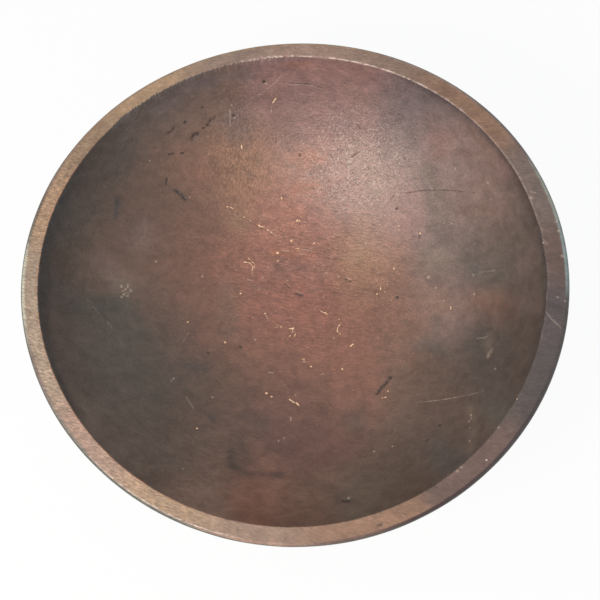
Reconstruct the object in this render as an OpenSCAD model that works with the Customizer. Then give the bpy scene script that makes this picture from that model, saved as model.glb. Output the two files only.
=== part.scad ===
// Turned wooden dough bowl, made from one block of wood.
// The origin is the middle of the underside, +X runs along the grain and +Z is up.
// The bowl was turned round. It has since shrunk across the grain, which made it oval,
// and its rim has sagged on the two sides, so that it now stands highest near the grain ends.

/* [Plan] */
// Length over the rim, along the grain
bowl_length = 387; // [280:1:600]
// Width over the rim, across the grain
bowl_width = 361.5; // [250:0.5:600]
// Height of the rim where it is highest
bowl_height = 114; // [85:1:170]

/* [Rim] */
// Width of the rim, from its inner edge to its outer face
rim_width = 14.5; // [8:0.5:30]
// Radius of the rounded outer edge of the rim
rim_round = 3; // [0.5:0.1:6]
// Height of the upright outer face of the rim, below the rounded edge
rim_face = 7; // [2:0.5:25]
// How far the two low sides of the rim lie below its high ends
rim_drop = 12; // [2:0.5:20]
// Turn of the rim's high ends away from the grain, in degrees
rim_turn = 14; // [-45:1:45]

/* [Hollow and foot] */
// Thickness of the wood in the middle of the bottom
floor_thickness = 12; // [6:0.5:30]
// Slope of the inner wall where it meets the rim, in degrees
wall_slope = 72; // [66:1:82]
// Diameter of the flat foot, along the grain
foot_diameter = 124; // [60:1:180]

/* [Hidden] */
wood = "#7a5547";
// Slopes of the flats that make up the rounded edge, in degrees
edge_slopes = [15, 30, 45, 60, 75];
// What a cutting shape reaches past the wood
overrun = 5;
$fn = 180;

// Sizes of the bowl as it was turned, while it was still round
rim_radius = bowl_length / 2;
inner_radius = rim_radius - rim_width;
foot_radius = foot_diameter / 2;
across_share = bowl_width / bowl_length;

// The hollow is the lower part of an ellipsoid with its centre above the rim
depth = bowl_height - floor_thickness;
centre_rise = pow(depth, 2) / (inner_radius * tan(wall_slope) - 2 * depth);
centre_z = bowl_height + centre_rise;
hollow_down = depth + centre_rise;

// The outside has the same centre. It runs from the foot to the rim's upright face.
face_drop = rim_round + rim_face;
face_below = centre_rise + face_drop;
outside_share = (pow(rim_radius, 2) - pow(foot_radius, 2))
    / (pow(rim_radius * centre_z, 2) - pow(foot_radius * face_below, 2));
outside_down = 1 / sqrt(outside_share);

// The sagged rim is the crest of a very wide drum that lies along the rim's high line
drum_radius = (pow(rim_radius, 2) + pow(rim_drop, 2)) / (2 * rim_drop);

// Half-width that an ellipsoid needs so that it is `reach` wide at `below` under its centre
function half_width(reach, below, down) = reach / sqrt(1 - pow(below / down, 2));

// Ellipsoid that is `reach` wide at one depth on the high line and lower down across it,
// so that the edge it cuts stays as wide round the whole of the sagged rim
module sagged_ellipsoid(reach, below, down) {
    translate([0, 0, centre_z])
        scale([
            half_width(reach, below, down),
            half_width(reach, below + rim_drop, down),
            down
        ])
            sphere(r = 1);
}

// Everything under the sagged top of the rim
module under_drum() {
    translate([0, 0, bowl_height - drum_radius])
        rotate([0, 90, 0])
            cylinder(r = drum_radius, h = bowl_length + 2 * overrun, center = true);
}

// Everything under one flat of the rounded edge, which sinks with the rim across the high line
module under_edge_flat(slope) {
    touch_radius = rim_radius - rim_round * (1 - sin(slope));
    touch_z = bowl_height - rim_round * (1 - cos(slope));
    cone_height = touch_z + touch_radius * tan(slope) + overrun;
    cone_radius = cone_height / tan(slope);
    sink_share = 1 + rim_drop / (rim_radius * tan(slope));
    translate([0, 0, -overrun])
        scale([1, 1 / sink_share, 1])
            cylinder(r1 = cone_radius, r2 = 0, h = cone_height);
}

// The bowl while it was still round, down to below its foot
module turned_bowl() {
    rotate([0, 0, rim_turn])
        difference() {
            intersection() {
                translate([0, 0, -overrun])
                    cylinder(r = rim_radius, h = bowl_height + 2 * overrun);
                sagged_ellipsoid(rim_radius, face_below, outside_down);
                under_drum();
                intersection_for (slope = edge_slopes)
                    under_edge_flat(slope);
            }
            sagged_ellipsoid(inner_radius, centre_rise, hollow_down);
        }
}

// The whole bowl: shrunk across the grain, and cut off flat for its foot
module bowl() {
    color(wood)
        intersection() {
            scale([1, across_share, 1])
                turned_bowl();
            translate([-bowl_length, -bowl_width, 0])
                cube([2 * bowl_length, 2 * bowl_width, bowl_height + overrun]);
        }
}

bowl();
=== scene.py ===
import itertools
import math

import bmesh
import bpy
import numpy as np
from mathutils import Euler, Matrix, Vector


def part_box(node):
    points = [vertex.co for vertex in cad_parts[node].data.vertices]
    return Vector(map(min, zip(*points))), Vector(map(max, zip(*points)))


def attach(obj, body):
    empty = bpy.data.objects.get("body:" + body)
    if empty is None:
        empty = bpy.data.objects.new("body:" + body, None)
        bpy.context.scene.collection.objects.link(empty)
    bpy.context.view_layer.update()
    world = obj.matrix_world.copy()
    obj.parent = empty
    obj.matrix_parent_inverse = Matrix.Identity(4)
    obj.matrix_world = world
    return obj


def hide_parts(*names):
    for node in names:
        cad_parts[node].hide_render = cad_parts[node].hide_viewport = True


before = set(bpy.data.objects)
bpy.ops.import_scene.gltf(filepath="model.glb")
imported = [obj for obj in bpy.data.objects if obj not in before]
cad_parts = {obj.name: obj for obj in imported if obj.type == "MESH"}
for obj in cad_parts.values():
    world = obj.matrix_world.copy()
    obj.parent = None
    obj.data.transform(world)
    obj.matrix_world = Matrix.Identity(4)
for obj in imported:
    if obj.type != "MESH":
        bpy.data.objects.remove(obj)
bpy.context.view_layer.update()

# An old turned dough bowl. It was turned round from one block of wood, shrank across the grain
# and sagged on two sides of its rim. The surface is worked out in the plan of the round bowl,
# in millimetres, and is squeezed across the grain at the end. The grain runs along X.

MM = 0.001
low, high = (np.array(corner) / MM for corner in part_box("bowl"))
LENGTH, WIDTH, HEIGHT = high - low
ACROSS_SHARE = WIDTH / LENGTH

# The bowl's own sizes, as in the frame
RIM_RADIUS = LENGTH / 2
RIM_WIDTH = 14.5
RIM_ROUND = 3.0
RIM_FACE = 7.0
RIM_DROP = 12.0
RIM_TURN = math.radians(14)
FLOOR_THICKNESS = 12.0
WALL_SLOPE = math.radians(72)
FOOT_RADIUS = 62.0

# What follows from them
INNER_RADIUS = RIM_RADIUS - RIM_WIDTH
DEPTH = HEIGHT - FLOOR_THICKNESS
CENTRE_RISE = DEPTH ** 2 / (INNER_RADIUS * math.tan(WALL_SLOPE) - 2 * DEPTH)
CENTRE_Z = HEIGHT + CENTRE_RISE
HOLLOW_DOWN = DEPTH + CENTRE_RISE
FACE_BELOW = CENTRE_RISE + RIM_ROUND + RIM_FACE
OUTSIDE_DOWN = math.sqrt(
    ((RIM_RADIUS * CENTRE_Z) ** 2 - (FOOT_RADIUS * FACE_BELOW) ** 2)
    / (RIM_RADIUS ** 2 - FOOT_RADIUS ** 2))
DRUM_RADIUS = (RIM_RADIUS ** 2 + RIM_DROP ** 2) / (2 * RIM_DROP)


def half_widths(reach, below, down):
    """Half-widths of an ellipsoid along the rim's high line and across it."""
    along = reach / math.sqrt(1 - (below / down) ** 2)
    across = reach / math.sqrt(1 - ((below + RIM_DROP) / down) ** 2)
    return along, across


HOLLOW = half_widths(INNER_RADIUS, CENTRE_RISE, HOLLOW_DOWN)
OUTSIDE = half_widths(RIM_RADIUS, FACE_BELOW, OUTSIDE_DOWN)


def on_high_line(x, y):
    """A place of the plan, turned so that the rim's high line lies along the first axis."""
    c, s = math.cos(RIM_TURN), math.sin(RIM_TURN)
    return x * c + y * s, y * c - x * s


def rim_top(x, y):
    """Height of the sagged top of the rim."""
    across = on_high_line(x, y)[1]
    return HEIGHT - DRUM_RADIUS + np.sqrt(DRUM_RADIUS ** 2 - across ** 2)


def ellipsoid_z(x, y, half, down):
    """Height of the lower half of an ellipsoid over a place of the plan."""
    along, across = on_high_line(x, y)
    inside = 1 - (along / half[0]) ** 2 - (across / half[1]) ** 2
    return CENTRE_Z - down * np.sqrt(np.maximum(inside, 0))


def ellipsoid_reach(angle, z, half, down):
    """Radius of an ellipsoid at a height, in the direction of a plan angle."""
    along, across = on_high_line(np.cos(angle), np.sin(angle))
    spread = np.sqrt((along / half[0]) ** 2 + (across / half[1]) ** 2)
    return np.sqrt(np.maximum(1 - ((z - CENTRE_Z) / down) ** 2, 0)) / spread


# Times that a height on the sagged rim is worked out again from its place
EDGE_PASSES = 12
SIGHT_PASSES = 6


def inner_edge(turn):
    """Plan radius where the hollow meets the top of the rim."""
    z = np.full(turn.shape, HEIGHT)
    for _ in range(EDGE_PASSES):
        radius = ellipsoid_reach(turn, z, HOLLOW, HOLLOW_DOWN)
        z = rim_top(radius * np.cos(turn), radius * np.sin(turn))
    return radius


LATTICE = np.random.default_rng(7).random((32, 32, 32))
NOISE_START = 100


def soft_noise(points, size, shift=0.0):
    """Smooth random values from -1 to 1 at places in mm, on hills `size` mm apart."""
    cell = points / size + NOISE_START + shift
    base = np.floor(cell).astype(int)
    part = cell - base
    part = part * part * (3 - 2 * part)
    value = np.zeros(len(points))
    for corner in itertools.product((0, 1), repeat=3):
        weight = np.prod(np.where(corner, part, 1 - part), axis=1)
        i, j, k = ((base + corner) % len(LATTICE)).T
        value += weight * LATTICE[i, j, k]
    return 2 * value - 1


# Camera, fitted to the rim's two outlines: a 48 mm lens, 0.63 m up, on the near side and to the
# right of the bowl's middle. Its turn is in degrees, and the picture's side in pixels.
CAMERA_PLACE = (0.1485, -0.1011, 0.6345)
CAMERA_TURN = (12.692, 10.602, 16.502)
CAMERA_LENS = 48.0
CAMERA_REACH = (0.01, 20.0)
SENSOR = 36.0
PICTURE_SIDE = 600

scene = bpy.context.scene
camera = bpy.data.objects.new("camera", bpy.data.cameras.new("camera"))
scene.collection.objects.link(camera)
scene.camera = camera
camera.data.lens = CAMERA_LENS
camera.data.sensor_width = SENSOR
camera.location = CAMERA_PLACE
camera.rotation_euler = Euler([math.radians(turn) for turn in CAMERA_TURN])
camera.data.clip_start, camera.data.clip_end = CAMERA_REACH

# The same camera in the plan of the round bowl, for marks whose places are picture pixels
VIEW_TURN = np.array(camera.rotation_euler.to_matrix())
VIEW_FOCAL = CAMERA_LENS / SENSOR * PICTURE_SIDE
VIEW_MIDDLE = PICTURE_SIDE / 2
SQUEEZE = np.array([1, ACROSS_SHARE, 1])


def pixels_of(points):
    """Picture pixels at which places in the round bowl's mm show."""
    seen = (points * SQUEEZE - np.array(CAMERA_PLACE) / MM) @ VIEW_TURN
    return VIEW_MIDDLE + VIEW_FOCAL * np.stack([
        seen[:, 0] / -seen[:, 2],
        seen[:, 1] / seen[:, 2]], axis=1)


def look_lines(pixels):
    """Start and directions of the sight lines through picture pixels, in the round bowl's mm."""
    pixels = np.atleast_2d(np.array(pixels, float))
    rays = np.stack([
        (pixels[:, 0] - VIEW_MIDDLE) / VIEW_FOCAL,
        (VIEW_MIDDLE - pixels[:, 1]) / VIEW_FOCAL,
        np.full(len(pixels), -1.0)], axis=1)
    return np.array(CAMERA_PLACE) / MM / SQUEEZE, rays @ VIEW_TURN.T / SQUEEZE


def on_hollow(pixels):
    """Places of the hollow that show at picture pixels."""
    start, rays = look_lines(pixels)
    stretch = np.array([*HOLLOW, HOLLOW_DOWN])

    def rounded_out(vectors):
        """Vectors in a space where the hollow is part of a ball of radius 1."""
        along, across = on_high_line(vectors[..., 0], vectors[..., 1])
        return np.stack([along, across, vectors[..., 2]], axis=-1) / stretch

    # Each line meets the ball twice, and the second time is on the hollow
    origin = rounded_out(start - np.array([0, 0, CENTRE_Z]))
    rays_in = rounded_out(rays)
    a = (rays_in ** 2).sum(-1)
    b = rays_in @ origin
    c = origin @ origin - 1
    far = (-b + np.sqrt(b * b - a * c)) / a
    return start + far[:, None] * rays


def on_rim(pixels):
    """Places of the rim's top that show at picture pixels."""
    start, rays = look_lines(pixels)
    z = np.full(len(rays), HEIGHT)
    for _ in range(SIGHT_PASSES):
        places = start + ((z - start[2]) / rays[:, 2])[:, None] * rays
        z = rim_top(places[:, 0], places[:, 1])
    return places


def angle_of(pixel):
    """Plan angle at which a picture pixel of the rim lies."""
    place = on_rim(pixel)[0]
    return math.atan2(place[1], place[0])


# Stretches of the rim, anticlockwise in plan: the picture pixels where each starts and ends,
# and the angle in radians over which it fades out beyond them
STRETCHES = {
    "torn": ((285, 57), (118, 118), 0.1),
    "polished": ((540, 232), (262, 57), 0.05),
    "chipped": ((547, 325), (541, 236), 0.1),
    "shining": ((530, 205), (262, 57), 0.15),
    "brightest": ((430, 92), (200, 70), 0.3),
    "left": ((60, 170), (170, 500), 0.3),
    "lower left": ((100, 462), (222, 530), 0.08),
    "dirty shaded right": ((545, 345), (430, 92), 0.2),
    "dirty shaded left": ((55, 185), (62, 390), 0.2),
}


def along_rim(turn, name):
    """1 on a stretch of the rim, by plan angle, falling to 0 beyond its ends."""
    start, end, fade = STRETCHES[name]
    half = (angle_of(end) - angle_of(start)) % (2 * np.pi) / 2
    off = np.abs((turn - angle_of(start) - half + np.pi) % (2 * np.pi) - np.pi)
    return np.clip(1 - (off - half) / fade, 0, 1)


# Marks of use: bare scratches, fainter and faintest ones, dirty gouges, cracks and chips.
# Each kind has its mask, its depth in mm, how strongly its colour shows, and how much of its
# width that colour takes up.
PALE = ("pale", 0.10, 1.0, 0.55)
GLINT = ("glint", 0.06, 0.5, 0.55)
FAINT = ("glint", 0.03, 0.24, 0.6)
DARK = ("dirt_and_shade", 0.35, 1.0, 0.95)
CRACK = ("dirt_and_shade", 0.45, 0.9, 0.6)
CHIP = ("glint", 0.5, 0.35, 0.5)
# Each mark has its kind, its width in mm, and its one picture pixel or those that it runs along
HOLLOW_MARKS = [
    # Broken scratch on the left of the middle
    (PALE, 0.8, [(225, 206.5), (230, 207), (238, 211.6)]),
    (PALE, 0.6, [(243.4, 216.7), (251, 221)]),
    (PALE, 1.3, [(256, 223.7), (260.6, 226.5), (264, 227)]),
    (PALE, 0.9, [(264, 228), (271.5, 232.6)]), (GLINT, 0.6, [(271.5, 232.6), (276.5, 236.4)]),
    # Scribbles and bare spots down the middle
    (PALE, 0.9, [(244, 262), (250, 263), (253, 267), (252, 270)]),
    (PALE, 0.7, [(248, 258), (251, 261), (255, 264), (254, 268)]),
    (GLINT, 0.6, [(252.3, 271), (252, 275)]), (GLINT, 0.7, [(247.2, 279.7), (252.3, 280.4)]),
    (PALE, 1.3, (240.6, 293.5)), (GLINT, 0.8, (263, 277.4)), (PALE, 1.9, (277.4, 253)),
    (PALE, 1.3, (278, 261.2)), (PALE, 2.0, (291.6, 240.8)),
    (PALE, 1.0, [(295.6, 248.6), (299, 248.2)]), (PALE, 0.9, [(296.6, 251.2), (299.5, 250.6)]),
    (PALE, 1.2, (314.2, 243.4)), (PALE, 1.4, (297, 220.5)), (PALE, 1.2, (299.2, 220.9)),
    (PALE, 1.5, [(281.6, 197), (281.6, 200)]), (GLINT, 0.8, [(282.3, 250.6), (289, 251)]),
    (GLINT, 0.7, [(296, 253.2), (305, 254.6)]), (GLINT, 0.7, [(302, 249.5), (311, 250.5)]),
    (PALE, 0.9, [(275.3, 324.6), (279, 325), (281.6, 327.6)]),
    (GLINT, 0.7, [(274.5, 327), (278, 327)]),
    (PALE, 1.0, [(289.3, 328.8), (293.8, 328), (292.4, 330.2)]),
    (GLINT, 0.7, [(291, 332.6), (294.8, 331.4)]), (PALE, 1.0, [(295.4, 333.2), (294.4, 336.4)]),
    (PALE, 0.8, [(290.6, 335.4), (287.8, 337.4)]), (PALE, 1.0, [(320.5, 311), (324.4, 312.9)]),
    (PALE, 1.3, [(325, 313), (327, 314.8)]), (PALE, 1.0, (339, 319.3)),
    (PALE, 1.1, [(341.6, 323), (338.4, 326)]),
    (PALE, 0.9, [(338, 327.6), (337, 331.4), (340.3, 334)]),
    (GLINT, 1.0, [(332.5, 337), (334, 338.4)]), (PALE, 1.3, (225, 342.2)),
    (GLINT, 1.0, (255.5, 339.7)), (PALE, 1.1, (265, 313.5)),
    (GLINT, 0.7, [(265.6, 315), (268, 319)]), (GLINT, 0.8, (291.2, 317.3)),
    (PALE, 1.3, [(350.6, 346), (353, 344.2)]), (PALE, 0.9, [(302.2, 358.8), (304.6, 360)]),
    (GLINT, 0.8, [(303, 361.6), (306, 362)]), (PALE, 1.1, (311, 366.5)),
    (GLINT, 0.8, [(320.5, 374.7), (323.7, 373.4)]), (PALE, 1.0, [(331, 369.6), (335.5, 369.8)]),
    (PALE, 1.2, (342.2, 369)), (GLINT, 0.9, [(268.9, 372.2), (272.7, 372.8)]),
    (PALE, 1.6, (266.3, 393.2)), (PALE, 1.3, (271.4, 396.8)),
    (PALE, 1.0, [(289.1, 399.1), (293.6, 402.4), (296.4, 402.5)]),
    (PALE, 1.3, [(296.4, 402.5), (299, 405.6)]), (GLINT, 0.9, [(290.8, 417.5), (290.6, 421)]),
    (GLINT, 1.0, (278.3, 440.6)), (GLINT, 0.8, (284, 438)), (GLINT, 0.9, (295.5, 395)),
    # Upper left
    (PALE, 1.2, [(241.5, 145.5), (241.7, 148)]), (GLINT, 0.9, (231.5, 105.3)),
    (GLINT, 0.7, [(230, 109.5), (230, 128)]), (GLINT, 0.9, (234.2, 118)),
    (GLINT, 0.9, (252.3, 185.4)), (PALE, 0.9, [(275.9, 98), (272.7, 102.5)]),
    (GLINT, 0.8, [(270.8, 106.3), (271.2, 111.4)]), (GLINT, 0.9, [(265, 83.2), (267, 84.2)]),
    (GLINT, 0.4, [(282.3, 73.8), (277, 81), (267, 89), (259, 95)]), (GLINT, 0.8, (149.7, 160.5)),
    (GLINT, 0.8, (208.8, 153.7)), (GLINT, 0.8, (189.6, 197)),
    # Left: a patch of light pecks and faint scratches
    (GLINT, 1.4, (121.5, 286.5)), (GLINT, 1.3, [(124.5, 290), (126, 288.5)]),
    (GLINT, 1.2, [(127.8, 284.6), (127.6, 287)]), (PALE, 0.8, [(120.4, 290.6), (123, 291.2)]),
    (GLINT, 1.4, (130.6, 291)), (GLINT, 1.4, (124, 294.4)), (GLINT, 1.4, (121.6, 297)),
    (GLINT, 1.4, (127.6, 296)), (GLINT, 0.7, [(125.4, 293), (129, 293.6)]),
    (FAINT, 0.8, [(87.6, 299.3), (90, 302)]), (FAINT, 0.6, [(93, 306), (99, 313.3)]),
    (FAINT, 0.6, [(106.7, 321), (112, 328)]), (GLINT, 1.2, (155.8, 261.4)),
    (GLINT, 1.0, (202.4, 276.3)), (PALE, 1.1, (187.7, 322)),
    (FAINT, 0.8, [(188.4, 332.4), (182.6, 342.7)]), (GLINT, 0.9, (173.7, 378.6)),
    (GLINT, 0.8, (171.4, 381)), (PALE, 1.1, (197.1, 428.3)), (GLINT, 1.1, (212.4, 397)),
    (FAINT, 0.9, [(186.3, 397.4), (193.3, 408.3)]), (GLINT, 0.9, (183, 468.9)),
    # Right
    (FAINT, 0.6, [(420.2, 402), (430, 401.2)]),
    (GLINT, 0.6, [(430, 401.2), (448.9, 398.6), (460, 396.6)]),
    (FAINT, 0.6, [(460, 396.6), (473, 394), (484, 390.8)]),
    (FAINT, 2.4, [(491.6, 349.8), (487.6, 356.4)]),
    (FAINT, 0.7, [(477, 338.4), (484.6, 337.8), (488.4, 335.8)]), (GLINT, 1.2, (495.4, 369)),
    (GLINT, 1.2, (471.3, 415.2)), (GLINT, 1.0, (471.5, 418.6)), (GLINT, 0.9, (469.2, 421.4)),
    (GLINT, 1.0, (469.6, 441)), (GLINT, 0.9, (470, 428)), (GLINT, 1.6, (428.2, 277.2)),
    (GLINT, 1.1, (436, 287.8)), (PALE, 1.2, [(450.8, 306.6), (450.8, 309)]),
    (GLINT, 1.0, (443.8, 300.8)), (GLINT, 1.1, (473.4, 275)),
    (FAINT, 0.7, [(479.5, 272), (494.8, 270.5)]), (GLINT, 1.0, (474.4, 294)),
    (PALE, 1.1, (393.9, 268.6)), (PALE, 1.0, [(380.5, 287), (380.6, 289.4)]),
    (PALE, 1.2, (377, 294)), (GLINT, 0.9, (384.8, 291.8)),
    (PALE, 1.0, [(397.2, 224.6), (399, 226)]), (GLINT, 1.0, (398.6, 230)),
    (PALE, 0.9, [(419.6, 232), (420.4, 234)]), (GLINT, 0.8, [(449.8, 222.4), (452.4, 223.6)]),
    (GLINT, 0.8, (455.3, 169)), (GLINT, 0.9, (487.8, 183)),
    (GLINT, 1.0, [(373.5, 180), (373.6, 183.4)]), (GLINT, 0.9, (376.7, 196.3)),
    (GLINT, 1.1, (365.8, 243.4)), (GLINT, 1.0, [(325, 273.6), (327, 272.8)]),
    (GLINT, 1.2, (338.4, 276.5)), (PALE, 0.9, [(382.2, 397.9), (386, 397)]),
    (PALE, 0.9, (388, 391.2)), (GLINT, 1.0, (392.4, 446.3)), (GLINT, 1.0, (373.9, 451.4)),
    (GLINT, 1.2, (348.6, 498)),
    # Gouges and dents
    (DARK, 1.5, [(175, 190), (179, 193)]), (DARK, 2.4, [(181.4, 195.6), (183.4, 197)]),
    (DARK, 1.4, [(183.4, 197.6), (185.8, 199.6)]), (DARK, 0.9, [(167.3, 178.6), (166.7, 183.7)]),
    (DARK, 0.9, [(169.2, 155), (173.7, 153.7)]), (DARK, 0.8, [(181.4, 153.3), (184.5, 153)]),
    (DARK, 1.8, [(192, 139), (193.6, 136.6)]), (DARK, 1.9, [(194.8, 134.6), (198, 134)]),
    (DARK, 0.9, (203.7, 128.2)), (DARK, 1.6, [(207.5, 125), (209.4, 124)]),
    (DARK, 1.6, [(210.6, 121), (213.9, 119.3), (214.5, 117.6)]),
    (DARK, 1.1, [(168.6, 132.7), (173, 130.8), (173.6, 128.4)]), (DARK, 1.1, (185.2, 122.5)),
    (DARK, 0.8, (202.4, 107.8)), (DARK, 1.1, (233.6, 115.8)), (DARK, 1.2, (264, 82)),
    (CRACK, 0.6, [(351.8, 157.3), (358.2, 152.2)]), (CRACK, 0.5, [(357.5, 124.8), (360, 129.3)]),
    (CRACK, 0.45, [(390, 199.4), (393.9, 195)]), (DARK, 0.9, (300, 155.4)),
    (CRACK, 0.5, [(277, 138), (276, 143)]), (DARK, 1.0, (396.4, 208.4)),
    (DARK, 1.0, [(419, 235), (419.3, 237.3)]),
    (DARK, 1.6, [(390.4, 377.2), (383.7, 385), (377, 392.8)]),
    (DARK, 1.4, [(296.6, 293.6), (301.8, 295)]), (CRACK, 0.6, [(285.5, 283.5), (289.3, 287.4)]),
    (DARK, 0.9, [(345.4, 278.4), (350.5, 281)]), (DARK, 1.1, (397.2, 297)),
    (DARK, 1.0, (208.8, 353)), (DARK, 1.4, [(343, 500.4), (347.6, 500.8)]),
    (DARK, 0.9, (439.7, 425)), (DARK, 0.9, (427, 439.9)), (DARK, 1.0, (240.6, 347)),
    (CRACK, 0.55, [(405.5, 192.9), (423.4, 190.4), (443.8, 190.1), (459, 191.2)]),
    (CRACK, 0.4, [(459, 191.2), (474.4, 192.7)]), (CRACK, 0.8, [(288, 83.4), (312, 84.6)]),
    (CRACK, 0.5, [(312, 84.6), (322, 88.5)]),
]
RIM_MARKS = [
    (FAINT, 0.9, [(547, 312.9), (552.2, 319.9), (561, 327.6)]), (PALE, 0.6, (565, 301)),
    (GLINT, 0.8, (557.6, 297)), (FAINT, 0.9, [(530.5, 191.4), (535.6, 192.6)]),
    (FAINT, 0.8, [(542.6, 238.6), (547, 243.7)]), (PALE, 0.7, (486.5, 460)),
    (PALE, 0.7, (516.6, 398.9)), (DARK, 0.8, [(378, 525), (382, 524.4)]), (CHIP, 1.3, (556, 222)),
    (CHIP, 1.4, (558.4, 231)), (CHIP, 1.5, (562, 256)), (CHIP, 1.8, (500.5, 122)),
    (CHIP, 1.4, (530.6, 197.8)), (CHIP, 1.2, (536, 228)), (CHIP, 1.2, (543, 243)),
    (CHIP, 1.3, (498.3, 427.3)), (CHIP, 1.2, (461, 467.4)), (CHIP, 1.2, (457, 471.5)),
    (CHIP, 1.0, (120.6, 121.8)),
]
marks = [(kind, width, on_hollow(pixels)) for kind, width, pixels in HOLLOW_MARKS]
marks += [(kind, width, on_rim(pixels)) for kind, width, pixels in RIM_MARKS]


def stroke_distance(points, stroke):
    """Distance in mm from places to a stroke, which is one place or a run of them."""
    nearest = np.linalg.norm(points - stroke[0], axis=1)
    for start, end in zip(stroke, stroke[1:]):
        run = end - start
        share = np.clip((points - start) @ run / (run @ run), 0, 1)
        nearest = np.minimum(nearest, np.linalg.norm(points - start - share[:, None] * run, axis=1))
    return nearest


def near_stroke(points, stroke, reach):
    """Which places lie in the stroke's box, made larger all round by `reach`."""
    return np.all((points > stroke.min(0) - reach) & (points < stroke.max(0) + reach), axis=1)


# Rings of corners, from the middle of the hollow over the rim to the middle of the foot.
# Rings near a middle have fewer corners, within these shares of the hollow's or the foot's radius.
RIM_CORNERS = 1800
WALL_CORNERS = 450
MIDDLE_CORNERS = [(0.05, 25), (0.14, 75), (0.38, 225)]
OUTSIDE_CORNERS = 300
FOOT_CORNERS = [(0.985, 300), (0.9, 150), (0.6, 75), (0.25, 75)]
HOLLOW_RINGS = 88
OUTSIDE_RINGS = 32
# The last rings of even steps in the hollow give way to rings at these depths in mm under its edge
EDGE_RINGS = 4
EDGE_DEPTHS = (2.6, 1.7, 1.15)
# Shares of the worn inner edge, of the rim's flat top and of its upright face, slopes in degrees
WORN_SHARES = (0, 0.25, 0.5, 0.75)
TOP_SHARES = (0, 0.12, 0.35, 0.62, 0.84, 0.95, 1)
ROUND_SLOPES = (12, 30, 50, 70, 90)
FACE_SHARES = (0.3, 0.65, 0.93)
rings = []


def angles(count):
    """Plan angles of a ring's corners."""
    return np.arange(count) * 2 * np.pi / count


def add_ring(radius, z):
    """A ring of corners with their plan radii and heights."""
    turn = angles(len(radius))
    z = np.broadcast_to(z, turn.shape)
    rings.append(np.stack([radius * np.cos(turn), radius * np.sin(turn), z], axis=1))


def corners_at(share):
    """How many corners a ring of the hollow has, by its share of the hollow's radius."""
    for limit, count in MIDDLE_CORNERS:
        if share < limit:
            return count
    return WALL_CORNERS


# Hollow: even steps of the angle under the ellipsoid's centre, so that the wall isn't coarse
edge_slope = math.asin(INNER_RADIUS / HOLLOW[0])
for step in range(1, HOLLOW_RINGS - EDGE_RINGS + 1):
    share = math.sin(edge_slope * step / HOLLOW_RINGS) / math.sin(edge_slope)
    turn = angles(corners_at(share))
    radius = inner_edge(turn) * share
    add_ring(radius, ellipsoid_z(radius * np.cos(turn), radius * np.sin(turn), HOLLOW, HOLLOW_DOWN))

# Inner edge of the rim: torn at the upper left, polished round at the upper right, worn elsewhere
TOOTH_SIZE = 1.7
BITE_SIZE = 6.0
WEAR_SIZE = 9.0


def around_edge(turn):
    """Places on the round inner edge, by plan angle."""
    return INNER_RADIUS * np.stack([np.cos(turn), np.sin(turn), 0 * turn], axis=1)


def ragged_edge(turn):
    """How many mm the inner edge has broken back into the rim, by plan angle."""
    torn, chipped = along_rim(turn, "torn"), along_rim(turn, "chipped")
    around = around_edge(turn)
    teeth = np.abs(soft_noise(around, TOOTH_SIZE)) * (0.3 + 1.5 * torn + 0.8 * chipped)
    return teeth + soft_noise(around, BITE_SIZE, 3.0) * (0.12 + 0.25 * torn + 0.3 * chipped)


def edge_wear(turn):
    """Width in mm of the rounded-off inner edge, by plan angle."""
    uneven = 0.15 * soft_noise(around_edge(turn), WEAR_SIZE)
    return 0.6 + uneven + 0.25 * along_rim(turn, "polished") - 0.25 * along_rim(turn, "torn")


turn = angles(RIM_CORNERS)
ragged = ragged_edge(turn)
wear = edge_wear(turn)
edge = inner_edge(turn) + ragged
top = rim_top(edge * np.cos(turn), edge * np.sin(turn))
lean = inner_edge(turn) - ellipsoid_reach(turn, top - 1, HOLLOW, HOLLOW_DOWN)
for below in EDGE_DEPTHS:
    add_ring(edge - lean * below - ragged * below / EDGE_DEPTHS[0], top - below)
for share in WORN_SHARES:
    below, flat = wear * (1 - share) ** 2, wear * share ** 2
    add_ring(edge - lean * below - ragged * below / EDGE_DEPTHS[0] + flat, top - below)
for share in TOP_SHARES:
    inside = edge + wear
    radius = inside + share * (RIM_RADIUS - RIM_ROUND - inside)
    add_ring(radius, rim_top(radius * np.cos(turn), radius * np.sin(turn)))

# Rounded outer edge
shoulder = rings[-1][:, 2]
for slope in np.radians(ROUND_SLOPES):
    radius = RIM_RADIUS - RIM_ROUND * (1 - np.sin(slope)) + 0 * turn
    add_ring(radius, shoulder - RIM_ROUND * (1 - np.cos(slope)))

# Outside: the upright face, the wall down to the foot and the flat foot
turn = angles(OUTSIDE_CORNERS)
shoulder = shoulder[::RIM_CORNERS // OUTSIDE_CORNERS]
along, across = on_high_line(np.cos(turn), np.sin(turn))
spread = np.sqrt((along / OUTSIDE[0]) ** 2 + (across / OUTSIDE[1]) ** 2)
face_end = CENTRE_Z - OUTSIDE_DOWN * np.sqrt(1 - (RIM_RADIUS * spread) ** 2)
for share in FACE_SHARES:
    add_ring(RIM_RADIUS + 0 * turn, (shoulder - RIM_ROUND) * (1 - share) + face_end * share)
face_angle = np.arccos((CENTRE_Z - face_end) / OUTSIDE_DOWN)
foot_angle = math.acos(CENTRE_Z / OUTSIDE_DOWN)
for share in np.linspace(0, 1, OUTSIDE_RINGS):
    down_angle = face_angle + (foot_angle - face_angle) * share
    add_ring(np.sin(down_angle) / spread, CENTRE_Z - OUTSIDE_DOWN * np.cos(down_angle))
foot_edge = np.hypot(rings[-1][:, 0], rings[-1][:, 1])
for share, count in FOOT_CORNERS:
    add_ring(foot_edge[::OUTSIDE_CORNERS // count] * share, 0.0)


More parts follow.
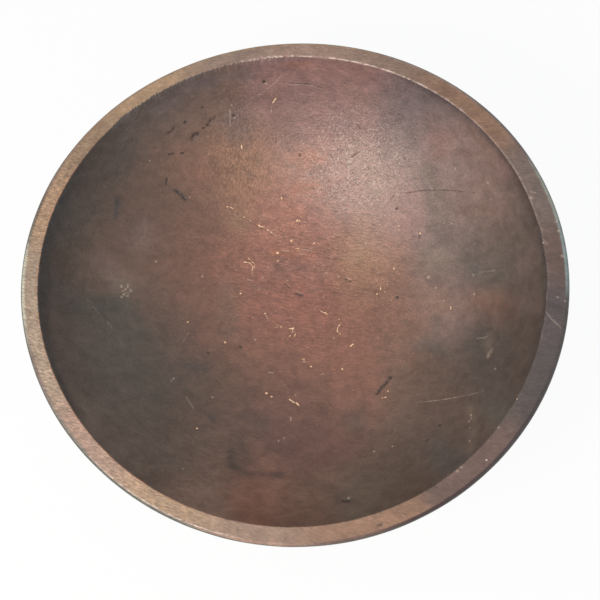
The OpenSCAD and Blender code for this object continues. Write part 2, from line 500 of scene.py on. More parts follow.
def stitch(bm, first, second):
    """Faces between two rings whose corner counts are equal or a whole multiple."""
    if len(first) < len(second):
        stitch(bm, second, first)
        return
    ratio = len(first) // len(second)
    for index, near in enumerate(second):
        far = second[(index + 1) % len(second)]
        run = [first[(index * ratio + k) % len(first)] for k in range(ratio + 1)]
        if ratio == 1:
            bm.faces.new((near, far, run[1], run[0]))
            continue
        middle = ratio // 2
        for k in range(ratio):
            apex = near if k < middle else far
            bm.faces.new((apex, run[k + 1], run[k]))
        bm.faces.new((near, far, run[middle]))


bm = bmesh.new()
made = [[bm.verts.new(point) for point in ring] for ring in rings]
for first, second in zip(made, made[1:]):
    stitch(bm, first, second)
for ring, z in ((made[0], FLOOR_THICKNESS), (made[-1], 0.0)):
    middle = bm.verts.new((0, 0, z))
    for index, corner in enumerate(ring):
        bm.faces.new((middle, corner, ring[(index + 1) % len(ring)]))
bmesh.ops.recalc_face_normals(bm, faces=bm.faces)


def corner_places(bm):
    """Places of all the corners of a mesh."""
    return np.array([vertex.co for vertex in bm.verts])


# Band inside the smooth edge, in mm of the plan, whose corners stay where the edge's rings put them
EDGE_BAND = 1.5


def is_hollow(points):
    """Which places lie on the hollow, and not on the rim or the outside."""
    turn = np.arctan2(points[:, 1], points[:, 0])
    deep = ellipsoid_z(points[:, 0], points[:, 1], HOLLOW, HOLLOW_DOWN)
    below = ellipsoid_z(points[:, 0], points[:, 1], OUTSIDE, OUTSIDE_DOWN)
    inside = np.hypot(points[:, 0], points[:, 1]) < inner_edge(turn) - EDGE_BAND
    return inside & (points[:, 2] > (deep + below) / 2)


# Finer corners near the marks, so that each is cut into the surface: their spacing in mm at a
# mark, its growth with the mark's width, the share of the width that has this spacing, its growth
# and reach beyond that, and how much longer than the spacing an edge may be
FINE_PASSES = 4
FINE = 0.36
WIDTH_GROWTH = 0.3
CORE_SHARE = 0.9
FINE_GROWTH = 0.9
FINE_REACH = 6.0
TOO_LONG = 1.5
NO_LIMIT = 99.0
for _ in range(FINE_PASSES):
    points = corner_places(bm)
    wanted = np.full(len(points), NO_LIMIT)
    for _, width, stroke in marks:
        near = near_stroke(points, stroke, width + FINE_REACH)
        clear = np.maximum(stroke_distance(points[near], stroke) - width * CORE_SHARE, 0)
        spacing = FINE * (1 + width * WIDTH_GROWTH) + clear * FINE_GROWTH
        wanted[near] = np.minimum(wanted[near], spacing)
    bm.verts.index_update()
    long_edges = [
        edge for edge in bm.edges
        if edge.calc_length() > TOO_LONG * min(wanted[corner.index] for corner in edge.verts)]
    bmesh.ops.subdivide_edges(bm, edges=long_edges, cuts=1)
    bmesh.ops.triangulate(bm, faces=[face for face in bm.faces if len(face.verts) > 4])
    points = corner_places(bm)
    hollow = is_hollow(points)
    points[hollow, 2] = ellipsoid_z(points[hollow, 0], points[hollow, 1], HOLLOW, HOLLOW_DOWN)
    for vertex, z in zip(bm.verts, points[:, 2]):
        vertex.co.z = z

# What each corner is: on the hollow, the rim's top or the outside
points = corner_places(bm)
pixels = pixels_of(points)
hollow = is_hollow(points)
turn = np.arctan2(points[:, 1], points[:, 0])
radius = np.hypot(points[:, 0], points[:, 1])
edge = inner_edge(turn)
under_top = rim_top(points[:, 0], points[:, 1]) - points[:, 2]

# Slight unevenness of an old bowl, more in its scraped hollow and none on its foot. Each wave has
# its height and its size in mm, and its start in the noise.
WAVES = ((0.10, 38, 0.0), (0.05, 14, 5.0))
HOLLOW_GROWTH = 1.6
FOOT_LEVEL = 0.5
bm.normal_update()
directions = np.array([vertex.normal for vertex in bm.verts])
resting = points[:, 2] < FOOT_LEVEL
shift = sum(height * soft_noise(points, size, start) for height, size, start in WAVES)
shift = np.where(hollow, shift * HOLLOW_GROWTH, shift)
shift[resting] = 0

# The marks, cut along the surface's own direction. Their sides are rough and long ones are
# broken, a single spot is wider, and a painted shadow outlines the bare ones.
ROUGH_SIZE = 0.9
ROUGH_SHARE = 0.25
BREAK_SIZE = 1.3
SPOT_GROWTH = 1.3
OUTLINE_WIDTH = 0.6
OUTLINE_SHARE = 0.3
mask_values = {name: np.zeros(len(points)) for name in ("pale", "glint", "dirt_and_shade")}
rough_side = ROUGH_SHARE * soft_noise(points, ROUGH_SIZE, 9.0)
broken = np.clip(0.75 + 0.9 * soft_noise(points, BREAK_SIZE, 4.0), 0.2, 1)
for kind, width, stroke in marks:
    mask, depth, strength, share_of_width = kind
    width = width if len(stroke) > 1 else width * SPOT_GROWTH
    near = near_stroke(points, stroke, width * 2 + 1)
    off = np.maximum(stroke_distance(points[near], stroke) + width * rough_side[near], 0)
    share = np.exp(-(off / (width * share_of_width)) ** 3)
    shift[near] = shift[near] - depth * share
    if mask == "pale":
        # A painted shadow round each bare scratch, laid in with the dirt of gouges
        outline = np.exp(-(off / (width * share_of_width + OUTLINE_WIDTH)) ** 3) - share
        dirt_and_shade = mask_values["dirt_and_shade"]
        dirt_and_shade[near] = np.maximum(dirt_and_shade[near], OUTLINE_SHARE * outline)
    share = share if len(stroke) == 1 else share * broken[near]
    shown = mask_values[mask]
    shown[near] = np.maximum(shown[near], strength * share)
places = points + directions * shift[:, None]
places[:, 2] = np.maximum(places[:, 2], 0)
for vertex, place in zip(bm.verts, places * SQUEEZE * MM):
    vertex.co = place

# Tones of old wood
TONES = {
    # Hollow
    "soot and shade": "#3f3b39", "char": "#483b35", "loden": "#4a4841", "slate": "#53504c",
    "smoke": "#514943", "moss": "#605047", "ash": "#5c524c", "sepia": "#594c41",
    "flint": "#64584e", "peat": "#624c3f", "heather": "#6c6061", "cocoa": "#684a40",
    "khaki": "#6a5e51", "umber": "#70584b", "dusty": "#6f605b", "bark": "#725345",
    "brown": "#7f5e4e", "chestnut": "#855c4c", "driftwood": "#917665", "loam": "#7b6d60",
    "russet": "#8c6251", "sallow": "#5f5e56", "clove": "#775d4e", "drab": "#726356",
    "shade": "#574e50", "coffee": "#5b4638", "sheen": "#95726a", "pale sheen": "#87736d",
    "dun": "#826c64", "rust": "#8e6554", "mauve": "#886863", "heart": "#936153",
    "rose": "#9c6c5c", "ochre": "#997259", "ember": "#a86c4c",
    # Rim
    "honey": "#9f8166", "straw": "#a6886a", "hazel": "#8e755e", "coal": "#504645",
    "tan": "#967b62", "bone": "#988471", "fawn": "#897060", "warm": "#8a6954", "buff": "#90786a",
    "blush": "#9b7e6e", "clay": "#73625a", "plum": "#665048", "dusk": "#4d4441",
    # Outer edge and outside, and the lines along the edges. Some of these are painted light:
    # highlights on the edges, grey reflections on the rounding, and shade with the dirt under the
    # inner edge
    "edge clay": "#796d64", "grey reflection": "#98998b", "pale grey reflection": "#b3ae9c", "misty reflection": "#8c9692",
    "sage": "#605146", "wine": "#3b2828", "verge": "#4b4f45", "worn edge and highlight": "#e8cfc0",
    "painted edge highlight": "#e6d0c6", "orange edge": "#ad7450", "edge dirt and shade": "#454846", "chip grey": "#958880",
    "edge grey": "#80766b", "night": "#403435", "outside": "#6f5a4c",
}

# Zones of the hollow: tone, middle in picture pixels, and reach in pixels
HOLLOW_ZONES = [
    ("ash", (150, 105), 40), ("smoke", (95, 165), 40), ("sepia", (75, 260), 35),
    ("slate", (56, 225), 28), ("slate", (48, 290), 20), ("peat", (125, 225), 40),
    ("clove", (110, 280), 40), ("flint", (90, 340), 35), ("sepia", (150, 350), 40),
    ("flint", (100, 390), 30), ("sepia", (165, 400), 45), ("drab", (120, 425), 30),
    ("drab", (160, 455), 30), ("driftwood", (200, 505), 25), ("umber", (200, 105), 35),
    ("brown", (195, 160), 35), ("peat", (155, 185), 35), ("bark", (185, 240), 40),
    ("bark", (200, 300), 40), ("peat", (205, 350), 35), ("coffee", (215, 395), 40),
    ("clove", (220, 450), 35), ("chestnut", (240, 270), 40), ("chestnut", (250, 330), 40),
    ("bark", (260, 385), 40), ("cocoa", (275, 430), 40), ("rust", (258, 492), 25),
    ("clove", (310, 500), 30), ("khaki", (365, 500), 30), ("cocoa", (340, 435), 45),
    ("sepia", (400, 465), 40), ("moss", (445, 430), 40), ("slate", (458, 458), 25),
    ("smoke", (500, 370), 45), ("peat", (420, 385), 35), ("smoke", (530, 300), 35),
    ("ash", (525, 230), 28), ("ash", (522, 188), 18), ("flint", (480, 265), 32),
    # The dove zone here and the two sheen zones below are lightened by a painted sheen on the far
    # wall
    ("dun", (490, 200), 32), ("pale sheen", (430, 165), 45), ("dusty", (455, 260), 35),
    ("heather", (415, 105), 32), ("shade", (190, 85), 18), ("mauve", (345, 100), 40),
    ("mauve", (290, 110), 40), ("sheen", (330, 170), 35), ("sheen", (385, 210), 40),
    ("ochre", (245, 165), 32), ("rose", (285, 200), 32), ("rose", (280, 235), 30),
    ("heart", (290, 300), 45), ("chestnut", (320, 260), 32), ("ochre", (357, 262), 32),
    ("chestnut", (365, 330), 45), ("chestnut", (305, 365), 40), ("brown", (400, 300), 35),
    ("dun", (440, 300), 28), ("russet", (355, 385), 40),
    ("loam", (90, 420), 17), ("loam", (120, 457), 17), ("sallow", (500, 412), 16),
    ("dusty", (522, 262), 14), ("dusty", (530, 300), 12), ("coffee", (172, 420), 18),
]
# Zones of the top of the rim, and of its outer edge
RIM_ZONES = [
    ("straw", (150, 90), 45), ("hazel", (85, 145), 35), ("honey", (50, 200), 35),
    ("bone", (28, 300), 40), ("bone", (40, 365), 35), ("blush", (90, 445), 40),
    ("tan", (165, 505), 45), ("fawn", (255, 533), 40), ("warm", (345, 530), 35),
    ("warm", (400, 514), 20), ("plum", (446, 488), 18), ("plum", (490, 452), 35),
    ("dusk", (535, 385), 40), ("coal", (556, 320), 35), ("plum", (556, 255), 25),
    ("clay", (535, 190), 35), ("warm", (464, 102), 45), ("fawn", (388, 63), 35),
    ("blush", (310, 50), 45), ("buff", (230, 58), 40),
]
EDGE_ZONES = [
    # The pale grey-green tones on the rounded edge, at the left and the right, are painted
    # reflections
    ("tan", (150, 85), 50), ("fawn", (70, 160), 40), ("sage", (35, 215), 25),
    ("pale grey reflection", (24, 290), 40), ("clay", (40, 375), 35), ("edge clay", (75, 435), 35),
    ("edge grey", (150, 505), 50), ("blush", (250, 540), 50), ("plum", (350, 538), 35),
    ("wine", (440, 502), 45), ("night", (520, 430), 50), ("dusk", (556, 345), 30),
    ("misty reflection", (562, 245), 25), ("grey reflection", (545, 195), 25), ("clay", (500, 125), 35),
    ("buff", (430, 75), 50), ("honey", (300, 45), 60),
]
# Stains over them: tone, strength, reach in pixels, and one picture pixel or those it runs along
STAINS = [
    ("soot and shade", 0.8, 4, [(117.5, 203), (113, 212)]), ("soot and shade", 0.35, 4, (251, 176)),
    ("soot and shade", 0.35, 4, (351, 79.5)), ("umber", 0.5, 6, [(437, 154), (440, 154)]),
    ("umber", 0.4, 5, [(462, 156), (465, 157)]),
    ("umber", 0.5, 4, [(461, 205), (478, 207), (491, 209)]),
    ("flint", 0.5, 2.5, [(456, 231.5), (519, 231.5)]),
    ("umber", 0.6, 3, [(256, 291.5), (266, 291.5)]),
    ("umber", 0.5, 3, [(308, 290.6), (315, 290.6)]), ("soot and shade", 0.5, 6, [(188, 367), (204, 370)]),
    ("soot and shade", 0.5, 5, [(208, 415), (213, 421)]), ("soot and shade", 0.35, 6, [(248, 418), (263, 428)]),
    ("char", 0.45, 8, [(240, 440), (246, 455)]),
    ("char", 0.8, 5, [(229.6, 448), (233.5, 466), (243.7, 475), (260, 478), (276, 475)]),
    ("soot and shade", 0.35, 6, [(340, 500), (350, 500)]), ("loden", 0.5, 5, [(437, 318), (436, 334)]),
    ("loden", 0.7, 9, [(426, 345), (441, 352)]), ("loden", 0.25, 18, [(114, 302), (125, 338)]),
    ("umber", 0.5, 3, [(399, 323), (408, 326), (418, 332)]),
    ("loden", 0.65, 16, [(80, 305), (128, 310)]), ("peat", 0.4, 14, (145, 300)),
    ("loam", 0.45, 13, [(58, 372), (84, 418), (122, 466)]), ("dun", 0.35, 16, (140, 234)),
    ("dun", 0.35, 10, [(104, 262), (115, 274)]),
    ("heather", 0.5, 9, [(155, 106), (185, 88), (215, 78), (250, 71)]),
    ("ember", 0.5, 3, [(284, 60.5), (297, 61.5)]), ("ember", 0.4, 3, [(306, 60.5), (316, 61)]),
    # The pale bone stain along (352, 150) to (372, 185) is a painted highlight in the window's
    # sheen
    ("cocoa", 0.35, 12, [(275, 98), (285, 135)]), ("bone", 0.30, 14, [(352, 150), (372, 185)]),
    ("bone", 0.5, 9, [(120, 284), (128, 291)]), ("bone", 0.25, 4, [(471, 410), (471, 425)]),
    ("bone", 0.2, 5, [(470, 438), (470, 452)]), ("bone", 0.12, 5, [(489, 347), (490, 356)]),
    ("heather", 0.4, 9, [(326, 128), (343, 124)]), ("flint", 0.55, 14, [(432, 176), (437, 220)]),
    ("dusty", 0.6, 14, [(236, 116), (241, 136)]), ("rose", 0.5, 8, [(298, 62), (306, 64)]),
    ("dun", 0.4, 9, (418, 346)), ("tan", 0.4, 14, (237, 219)), ("dun", 0.5, 12, (442, 337)),
    ("bone", 0.3, 14, (438, 262)), ("straw", 0.35, 14, (358, 256)),
    ("chestnut", 0.4, 20, [(478, 300), (496, 306)]), ("sepia", 0.6, 14, (360, 420)),
    ("coffee", 0.35, 13, [(320, 380), (322, 420)]), ("chestnut", 0.45, 14, (200, 180)),
    ("chestnut", 0.3, 16, [(205, 258), (240, 262)]),
    ("heather", 0.3, 15, [(284, 262), (318, 264)]), ("bark", 0.35, 12, (195, 422)),
    ("khaki", 0.35, 10, [(232, 290), (232, 330)]), ("ember", 0.5, 9, [(300, 158), (318, 156)]),
    ("ember", 0.55, 6, [(298, 187), (311, 186)]), ("ember", 0.3, 12, (295, 215)),
    ("ember", 0.45, 5, [(277, 250), (311, 252)]), ("slate", 0.45, 14, [(476, 268), (504, 272)]),
    ("soot and shade", 0.35, 6, (526, 222)), ("mauve", 0.5, 6, [(506, 161), (508, 166)]),
    ("slate", 0.7, 14, [(440, 456), (458, 470)]), ("rust", 0.5, 13, [(243, 500), (260, 488)]),
    ("soot and shade", 0.2, 9, [(63, 195), (55, 213), (48, 228)]),
    ("heart", 0.32, 26, [(324, 140), (314, 215), (298, 262)]),
    ("bark", 0.25, 18, [(240, 138), (262, 148)]), ("rust", 0.3, 9, [(255, 452), (262, 462)]),
    ("chestnut", 0.35, 16, (204, 340)), ("rose", 0.25, 20, [(240, 262), (268, 302)]),
    ("heart", 0.3, 22, [(318, 215), (322, 262)]), ("bark", 0.25, 18, [(240, 175), (246, 190)]),
    ("umber", 0.35, 12, [(472, 132), (488, 152)]), ("sepia", 0.3, 18, (122, 300)),
    ("cocoa", 0.3, 22, [(282, 385), (290, 420), (318, 420)]), ("slate", 0.25, 12, (482, 412)),
    ("khaki", 0.25, 20, [(396, 345), (398, 415)]), ("ochre", 0.25, 14, (440, 300)),
    ("chestnut", 0.3, 16, [(285, 262), (325, 262)]),
    ("slate", 0.25, 13, [(516, 178), (524, 215)]), ("peat", 0.25, 18, (160, 140)),
    ("peat", 0.2, 20, [(160, 300), (200, 380)]), ("heart", 0.25, 18, (360, 180)),
    ("ochre", 0.25, 18, (364, 222)), ("rose", 0.25, 16, (440, 140)),
    ("blush", 0.2, 16, (362, 102)),
]


def linear(colour):
    """sRGB hex colour as linear red, green, blue and alpha."""
    parts = [int(colour[i:i + 2], 16) / 255 for i in (1, 3, 5)]
    return (*[p / 12.92 if p <= 0.04045 else ((p + 0.055) / 1.055) ** 2.4 for p in parts], 1)


tone_values = {name: np.array(linear(colour)[:3]) for name, colour in TONES.items()}


def blend_zones(pixels, zones):
    """Tones of the zones, each fading into the next, and brown where none reaches."""
    total = np.full((len(pixels), 1), 1e-6)
    mixed = total * tone_values["brown"]
    for tone, middle, reach in zones:
        off = np.linalg.norm(pixels - middle, axis=1) / reach
        weight = np.exp(-off ** 2)[:, None]
        total = total + weight
        mixed = mixed + weight * tone_values[tone]
    return mixed / total


def rise(values, start, fade):
    """0 up to a start, rising to 1 over `fade` beyond it."""
    return np.clip((values - start) / fade, 0, 1)


# Stains have uneven outlines: in the hollow their zones wander. Each wave has its reach in pixels,
# its size in mm and its start in the noise, which is another one for the second direction.
WANDER = ((6, 22, 0.0), (2.5, 7, 2.0))
SECOND_START = 11.0
wander = np.stack([
    sum(reach * soft_noise(points, size, start + second) for reach, size, start in WANDER)
    for second in (0.0, SECOND_START)], axis=1)
stained = pixels + wander * hollow[:, None]

# Where the wall meets the rim's top, the top its rounded edge, and that edge the outside. Borders
# on the rim fade out over half a millimetre or a little more, and the outside's over 5 mm.
torn, chipped, left, lower_left, shining, brightest, dirty_shaded_right, dirty_shaded_left = (
    along_rim(turn, name) for name in (
        "torn", "chipped", "left", "lower left",
        "shining", "brightest", "dirty shaded right", "dirty shaded left"))
brink = edge + ragged_edge(turn)
rim = rise(radius, brink - 0.1, 0.5) * (1 - rise(under_top, 1.2, 1)) * ~hollow
on_side = (radius > edge + 3) & ~hollow
rounded = rise(radius, RIM_RADIUS - RIM_ROUND - left * (1 - lower_left) - 0.2, 0.8) * on_side
verge = rise(radius, RIM_RADIUS - 0.9 - 1.3 * left, 0.5) * on_side
sides = rise(under_top, 3.5, 5) * ~hollow
wall = blend_zones(stained, HOLLOW_ZONES)
lip = blend_zones(pixels, RIM_ZONES)
outer = blend_zones(pixels, EDGE_ZONES)
tones = wall + (lip - wall) * rim[:, None]
tones = tones + (outer - tones) * rounded[:, None]

# Thin patchy lines on the inner and the outer edge of the rim's top. The inner one is worn wood,
# with a painted highlight where it faces the window; the outer one is a painted highlight.
patchy = np.clip(0.6 + 1.1 * soft_noise(points, 2.0, 6.0), 0.1, 1)
inner_line = np.exp(-((radius - brink - 0.4 * edge_wear(turn)) / 0.42) ** 2) * (under_top < 2.5)
outer_line = np.exp(-((radius - (RIM_RADIUS - RIM_ROUND)) / 0.3) ** 2) * (under_top < 2)
under_edge = (radius < brink) * (under_top > 0.6) * (under_top < 30)


def dirt_and_shade_under_edge(reach, start=1.2):
    """Dirt and painted shade just inside the edge, fading out over `reach` mm of the plan."""
    return np.clip(start - (brink - radius) / reach, 0, 1) * under_edge


# What lies over the zones, from the first coat to the last: tone and share
coats = [
    # The worn inner edge, lightened further by a painted highlight where it faces the window
    ("worn edge and highlight", 0.95 * inner_line * shining * (0.22 + 0.78 * brightest) * patchy),
    ("orange edge", 0.5 * inner_line * left * patchy),
    # A painted highlight along the outer edge at the lower left
    ("painted edge highlight", 0.9 * outer_line * lower_left * patchy),
    ("verge", 0.9 * verge),
    # Dirt and painted shade just under the inner edge, at the left, the torn stretch and the right
    ("soot and shade", (0.1 * dirty_shaded_left + 0.4 * torn + 0.45 * dirty_shaded_right) * dirt_and_shade_under_edge(5, 1.0)),
    ("edge dirt and shade", 0.7 * dirt_and_shade_under_edge(4) * dirty_shaded_left),
    ("edge dirt and shade", 0.7 * dirt_and_shade_under_edge(1.6) * chipped),
    ("night", 0.6 * dirt_and_shade_under_edge(1.5) * dirty_shaded_right),
    ("chip grey", 0.15 * inner_line * chipped * patchy),
]
for name, strength, reach, stroke in STAINS:
    off = stroke_distance(stained, np.atleast_2d(np.array(stroke, float))) / reach
    coats.append((name, strength * np.exp(-off ** 2) * hollow))
coats.append(("outside", np.where(resting, 1, sides)))
for name, share in coats:
    tones = tones + (tone_values[name] - tones) * share[:, None]

mesh = bpy.data.meshes.new("turned_bowl")
bm.to_mesh(mesh)
bm.free()
mesh.shade_smooth()
bowl = bpy.data.objects.new("turned_bowl", mesh)
scene.collection.objects.link(bowl)

# Oval patches of the hollow: worn fibres over the middle, a net of scratches drawn with painted
# shade and highlight in the sheen, and comb-like marks beside it. Each has its middle and reach in
# picture pixels, and its firmness.
PATCHES = {
    "combed": ((240, 152), (38, 68), 3),
    "netted": ((354, 163), (57, 54), 3),
    "busy": ((320, 225), (135, 155), 2),
}
for name, (middle, reach, firmness) in PATCHES.items():
    off = np.linalg.norm((pixels - middle) / reach, axis=1)
    mask_values[name] = np.exp(-off ** firmness) * hollow
mask_values["busy"] *= 1 - 0.7 * mask_values["combed"]
# The rim, and its short hatching, which is strongest at the left
mask_values["rim"] = rim
mask_values["hatched"] = rim * (0.35 + 0.65 * left)
for name, values in mask_values.items():
    layer = mesh.attributes.new(name, "FLOAT", "POINT")
    layer.data.foreach_set("value", np.ascontiguousarray(values, dtype=np.float32))
layer = mesh.attributes.new("tone", "FLOAT_COLOR", "POINT")
tones = np.hstack([tones, np.ones((len(tones), 1))])
layer.data.foreach_set("color", np.ascontiguousarray(tones.ravel(), dtype=np.float32))


def add_node(tree, kind, settings=None, sockets=None):
    """A node with its settings, and its sockets' values or the outputs that feed them."""
    node = tree.nodes.new("ShaderNode" + kind)
    for name, value in (settings or {}).items():
        setattr(node, name, value)
    for name, value in (sockets or {}).items():
        if isinstance(value, bpy.types.NodeSocket):
            tree.links.new(value, node.inputs[name])
        else:
            node.inputs[name].default_value = value
    return node


def new_material(name):
    """An empty material."""
    material = bpy.data.materials.new(name)
    material.use_nodes = True
    material.node_tree.nodes.clear()
    return material


# Old oiled hardwood, turned on a lathe and scraped by years of use. The eye sees soft stains,
# short fibres and pores along the grain, a net of fine scratches in the sheen of the hollow,
# bare pale wood in fresh scratches and black dirt in old gouges. Its colour also holds painted
# light: highlights in the sheen and on the rim's edges, grey reflections on the outer rounding,
# shadows round bare scratches and shade under the inner edge. It is satin in the hollow, where
# it was oiled, and dry on the rim.
HARDWOOD_IOR = 1.5
SATIN = 0.34
DRY = 0.55
# Dirt of old gouges, also the painted shadow round bare scratches
DIRT_AND_SHADE = "#2e2825"
SCUFFED = "#dcc7b0"
# Pale strokes of the net in the sheen: a painted highlight
PAINTED_NET_GLINT = "#e0ccc0"
SPECK = "#c9977a"
SCRATCH_SIDE = "#cc8558"
BARE_WOOD = "#ffdfb8"
BARE_RIM = "#d6c4b8"
DULL_TINT = (0.89, 0.92, 0.93, 1)
WARM_TINT = (1.11, 1.08, 1.06, 1)

wood = new_material("turned_hardwood")
tree = wood.node_tree
place = add_node(tree, "TexCoord").outputs["Object"]
masks = {
    name: add_node(tree, "Attribute", {"attribute_name": name}).outputs["Fac"]
    for name in mask_values}
tone = add_node(tree, "Attribute", {"attribute_name": "tone"}).outputs["Color"]

# Patterns: turn from the grain in degrees, size along and across in mm, detail and distortion.
# Real fibres and pores are 0.1 to 0.3 mm wide and the scratches finer still. A picture pixel is
# 0.7 mm, so they are drawn 0.5 to 2 mm wide, as coarse as they need to be to show.
PATTERNS = {
    "clouds": (10, 11, 8, 5, 0.6),
    "mottle": (0, 3.4, 2.0, 4, 0.5),
    "fibres": (0, 6.0, 0.6, 3, 0.2),
    "pores": (0, 2.4, 0.5, 2, 0.0),
    "grain": (4, 7.0, 1.1, 1, 0.3),
    "hatch": (0, 3.4, 0.75, 1, 0.2),
    "crackle": (40, 2.2, 1.1, 1, 0.3),
    "dark net": (30, 5.0, 2.2, 0, 0.7),
    "pale net": (65, 5.0, 2.2, 0, 0.7),
    "specks": (0, 2.2, 0.9, 0, 0.3),
    "comb marks": (104, 12.0, 1.3, 0, 0.5),
    "scratches": (62, 7.0, 0.5, 2, 0.8),
    "scrapes": (-48, 6.0, 0.5, 2, 0.8),
}
patterns = {}
for name, (turned, along, across, detail, distortion) in PATTERNS.items():
    laid = add_node(tree, "Mapping", {"vector_type": "TEXTURE"}, {
        "Vector": place,
        "Rotation": (0, 0, math.radians(turned)),
        "Scale": (along * MM, across * MM, across * MM)})
    patterns[name] = add_node(tree, "TexNoise", None, {
        "Vector": laid.outputs["Vector"], "Scale": 1.0, "Detail": detail,
        "Distortion": distortion}).outputs["Fac"]
BLEND = {"data_type": "RGBA"}
MULTIPLY = {"data_type": "RGBA", "blend_type": "MULTIPLY"}


def swing(name, low, high, half=0.2):
    """A pattern's middle range, spread from one value to another."""
    return add_node(tree, "MapRange", None, {
        "Value": patterns[name], "From Min": 0.5 - half, "From Max": 0.5 + half,
        "To Min": low, "To Max": high}).outputs["Result"]


def net(name, on, off, half):
    """Thin wavy lines where a pattern crosses its middle."""
    away = add_node(tree, "Math", {"operation": "SUBTRACT"}, {0: patterns[name], 1: 0.5})
    away = add_node(tree, "Math", {"operation": "ABSOLUTE"}, {0: away.outputs[0]})
    return add_node(tree, "MapRange", None, {
        "Value": away.outputs[0], "From Max": half, "To Min": on, "To Max": off}).outputs["Result"]


# Patterns that darken and lighten the tones: values, half of the range spread, and their mask
SHADES = [
    ("clouds", 0.81, 1.19, 0.2, None),
    ("fibres", 0.88, 1.12, 0.2, None),
    ("grain", 0.76, 1.24, 0.2, "busy"),
    ("pores", 0.93, 1.07, 0.2, None),
    ("crackle", 0.84, 1.16, 0.2, "busy"),
    ("comb marks", 0.78, 1.22, 0.14, "combed"),
    ("hatch", 0.68, 1.28, 0.14, "hatched"),
]
tint = add_node(tree, "Mix", BLEND, {
    0: swing("mottle", 0, 1), 6: DULL_TINT, 7: WARM_TINT}).outputs[2]
colour = add_node(tree, "Mix", MULTIPLY, {0: 1.0, 6: tone, 7: tint}).outputs[2]
for name, low, high, half, mask in SHADES:
    colour = add_node(tree, "Mix", MULTIPLY, {
        0: masks.get(mask, 1.0), 6: colour, 7: swing(name, low, high, half)}).outputs[2]

# The net of scratches in the sheen, drawn as dark strokes of painted shade and pale strokes of
# painted highlight, and specks of bare wood over the middle
netted = add_node(tree, "Mix", MULTIPLY, {
    0: 1.0, 6: colour, 7: net("dark net", 0.28, 1.06, 0.05)}).outputs[2]
netted = add_node(tree, "Mix", BLEND, {
    0: net("pale net", 0.62, 0, 0.045), 6: netted, 7: linear(PAINTED_NET_GLINT)}).outputs[2]
colour = add_node(tree, "Mix", BLEND, {0: masks["netted"], 6: colour, 7: netted}).outputs[2]
speck = add_node(tree, "MapRange", None, {
    "Value": patterns["specks"], "From Min": 0.75, "From Max": 0.82}).outputs["Result"]
speck = add_node(tree, "Math", {"operation": "MULTIPLY"}, {
    0: speck, 1: masks["busy"]}).outputs[0]

# Bare wood in scratches is palest along their middle, and greyer on the rim
core = add_node(tree, "MapRange", None, {
    "Value": masks["pale"], "From Min": 0.30, "From Max": 0.85}).outputs["Result"]
bare = add_node(tree, "Mix", BLEND, {
    0: core, 6: linear(SCRATCH_SIDE), 7: linear(BARE_WOOD)}).outputs[2]
bare = add_node(tree, "Mix", BLEND, {0: masks["rim"], 6: bare, 7: linear(BARE_RIM)}).outputs[2]
for share, over in (
        (speck, linear(SPECK)), (masks["dirt_and_shade"], linear(DIRT_AND_SHADE)),
        (masks["glint"], linear(SCUFFED)), (masks["pale"], bare)):
    colour = add_node(tree, "Mix", BLEND, {0: share, 6: colour, 7: over}).outputs[2]

# Heights in mm: fibres and pores are shallow, and scratches cross them at several angles
HEIGHTS = {"fibres": 0.06, "pores": 0.03, "crackle": 0.14, "scratches": 0.09, "scrapes": 0.09}
height = swing("mottle", 0, 0.06)
for name, depth in HEIGHTS.items():
    height = add_node(tree, "Math", {"operation": "MULTIPLY_ADD"}, {
        0: patterns[name], 1: depth, 2: height}).outputs[0]
bump = add_node(tree, "Bump", None, {"Height": height, "Distance": MM})
gloss = add_node(tree, "MapRange", None, {
    "Value": masks["rim"], "To Min": SATIN, "To Max": DRY}).outputs["Result"]
gloss = add_node(tree, "Math", {"operation": "MULTIPLY_ADD"}, {
    0: swing("crackle", -0.09, 0.11), 1: masks["busy"], 2: gloss}).outputs[0]
shader = add_node(tree, "BsdfPrincipled", None, {
    "Base Color": colour, "Roughness": gloss, "IOR": HARDWOOD_IOR,
    "Normal": bump.outputs["Normal"]})
add_node(tree, "OutputMaterial", None, {"Surface": shader.outputs["BSDF"]})
mesh.materials.append(wood)


def seen_directly(tree):
    """1 for the camera and for reflections, 0 for the light that falls on things."""
    path = add_node(tree, "LightPath").outputs
    seen = add_node(tree, "Math", {"operation": "MAXIMUM"}, {
        0: path["Is Camera Ray"], 1: path["Is Glossy Ray"]}).outputs[0]
    return add_node(tree, "Math", {"operation": "MAXIMUM"}, {
        0: seen, 1: path["Is Transmission Ray"]}).outputs[0]


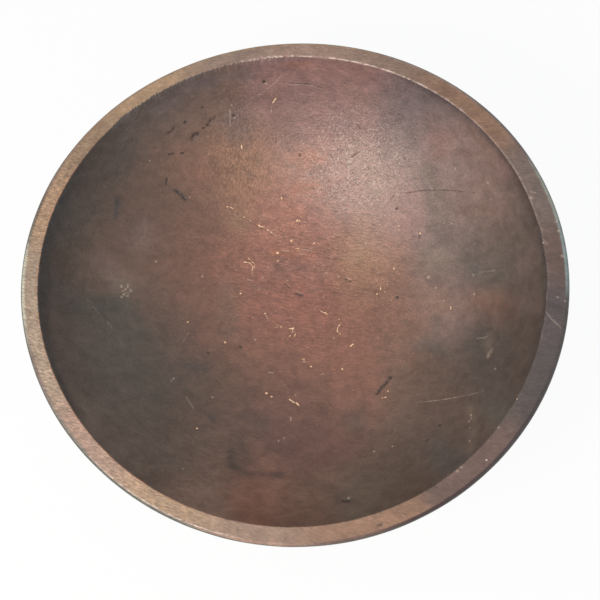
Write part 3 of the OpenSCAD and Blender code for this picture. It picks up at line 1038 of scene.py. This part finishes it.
# Floor and world. Both are white to the camera, and the floor is matt white paper for the rest,
# which keeps the bowl's shadow on it faintly.
FLOOR_HALF = 4.0
FLOOR_WHITE = 0.94
FILL_STRENGTH = 0.69
floor_mesh = bpy.data.meshes.new("floor")
floor_mesh.from_pydata(
    [(x * FLOOR_HALF, y * FLOOR_HALF, 0) for x, y in ((-1, -1), (1, -1), (1, 1), (-1, 1))],
    [], [(0, 1, 2, 3)])
floor = bpy.data.objects.new("floor", floor_mesh)
scene.collection.objects.link(floor)
paper = new_material("white_paper")
tree = paper.node_tree
share = add_node(tree, "Math", {"operation": "MULTIPLY"}, {
    0: seen_directly(tree), 1: FLOOR_WHITE})
diffuse = add_node(tree, "BsdfDiffuse", None, {"Color": linear("#e8e8e8")})
glow = add_node(tree, "Emission", None, {"Color": linear("#ffffff"), "Strength": 1.0})
mixed = add_node(tree, "MixShader", None, {
    0: share.outputs[0], 1: diffuse.outputs[0], 2: glow.outputs[0]})
add_node(tree, "OutputMaterial", None, {"Surface": mixed.outputs[0]})
floor_mesh.materials.append(paper)

world = bpy.data.worlds.new("studio")
scene.world = world
world.use_nodes = True
tree = world.node_tree
tree.nodes.clear()
fill = add_node(tree, "Background", None, {"Color": linear("#eaf3ff"), "Strength": FILL_STRENGTH})
white = add_node(tree, "Background", None, {"Color": linear("#ffffff"), "Strength": 1.0})
mixed = add_node(tree, "MixShader", None, {
    0: seen_directly(tree), 1: fill.outputs[0], 2: white.outputs[0]})
add_node(tree, "OutputWorld", None, {"Surface": mixed.outputs[0]})

# A soft square window beyond the near left side, whose sheen shows in the hollow. Its power is
# in watts and its side in metres.
WINDOW_PLACE = Vector((-0.44, -0.69, 0.96))
WINDOW_TARGET = Vector((0, 0.05, 0.05))
WINDOW_SIDE = 0.44
WINDOW_POWER = 10.2
window = bpy.data.lights.new("window", "AREA")
window.shape = "RECTANGLE"
window.size = window.size_y = WINDOW_SIDE
window.energy = WINDOW_POWER
window.color = linear("#fff0e0")[:3]
lamp = bpy.data.objects.new("window", window)
scene.collection.objects.link(lamp)
lamp.location = WINDOW_PLACE
lamp.rotation_euler = (WINDOW_TARGET - WINDOW_PLACE).to_track_quat("-Z", "Y").to_euler()

scene.view_settings.view_transform = "Standard"

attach(bowl, "root")
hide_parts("bowl")
